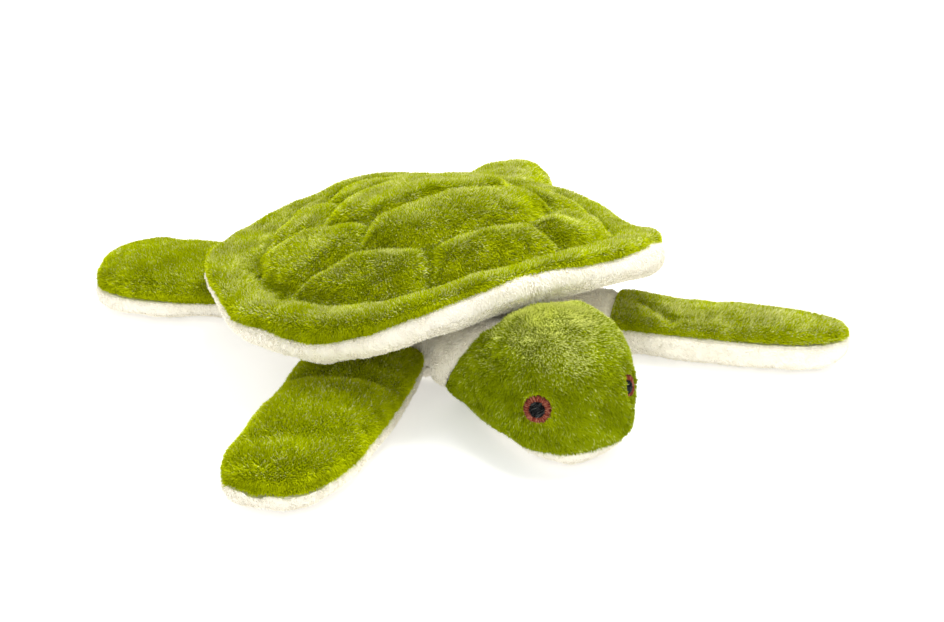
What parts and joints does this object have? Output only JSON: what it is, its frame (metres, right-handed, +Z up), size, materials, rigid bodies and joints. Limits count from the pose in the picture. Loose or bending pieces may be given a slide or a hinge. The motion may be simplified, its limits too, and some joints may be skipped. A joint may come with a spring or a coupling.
{
  "type": "plush sea turtle",
  "caption": "Stuffed sea turtle toy lying on its belly, with a quilted green shell, a cream underside, spread flippers and embroidered eyes.",
  "frame": {"origin": "centre of the belly's flat face, on the surface that the toy lies on", "axes": "+X to the turtle's left, +Y to its back, +Z up; it faces -Y"},
  "size_m": [0.3741, 0.3697, 0.0979],
  "materials": {
    "green_plush": "long soft pile",
    "head_plush": "long soft pile",
    "cream_plush": "short soft pile",
    "fibre": "loose polyester fibre",
    "iris_thread": "satin stitch",
    "pupil_thread": "satin stitch"
  },
  "bodies": {
    "torso": {"shell_top_panel": "green_plush", "shell_underside": "cream_plush", "shell_padding": "fibre", "body_cover": "cream_plush", "belly_panel": "cream_plush", "body_stuffing": "fibre"},
    "head": {"head_cover": "head_plush", "chin_panel": "cream_plush", "neck_panel": "cream_plush", "head_stuffing": "fibre", "iris_left": "iris_thread", "pupil_left": "pupil_thread", "iris_right": "iris_thread", "pupil_right": "pupil_thread"},
    "front_flipper_left": {"front_flipper_left_top": "green_plush", "front_flipper_left_underside": "cream_plush", "front_flipper_left_stuffing": "fibre"},
    "front_flipper_right": {"front_flipper_right_top": "green_plush", "front_flipper_right_underside": "cream_plush", "front_flipper_right_stuffing": "fibre"},
    "rear_flipper_left": {"rear_flipper_left_top": "green_plush", "rear_flipper_left_underside": "cream_plush", "rear_flipper_left_stuffing": "fibre"},
    "rear_flipper_right": {"rear_flipper_right_top": "green_plush", "rear_flipper_right_underside": "cream_plush", "rear_flipper_right_stuffing": "fibre"}
  },
  "joints": [
    {"name": "neck_nod", "type": "hinge", "parent": "torso", "child": "head", "pos_m": [0, -0.099, 0.03], "axis": [-1, 0, 0], "range_deg": [-30, 1], "stiffness_Nm_per_rad": 0.25},
    {"name": "front_flipper_left_flap", "type": "hinge", "parent": "torso", "child": "front_flipper_left", "pos_m": [0.067, -0.048, 0.0145], "axis": [-0.6691, -0.7431, 0], "range_deg": [-60, 5], "stiffness_Nm_per_rad": 0.08},
    {"name": "front_flipper_right_flap", "type": "hinge", "parent": "torso", "child": "front_flipper_right", "pos_m": [-0.0645, -0.048, 0.0145], "axis": [-0.7096, 0.7046, 0], "range_deg": [-60, 5], "stiffness_Nm_per_rad": 0.08},
    {"name": "rear_flipper_left_flap", "type": "hinge", "parent": "torso", "child": "rear_flipper_left", "pos_m": [0.07, 0.075, 0.014], "axis": [0.7547, -0.6561, 0], "range_deg": [-50, 1], "stiffness_Nm_per_rad": 0.08},
    {"name": "rear_flipper_right_flap", "type": "hinge", "parent": "torso", "child": "rear_flipper_right", "pos_m": [-0.07, 0.075, 0.014], "axis": [0.6293, 0.7771, 0], "range_deg": [-50, 1], "stiffness_Nm_per_rad": 0.08}
  ]
}
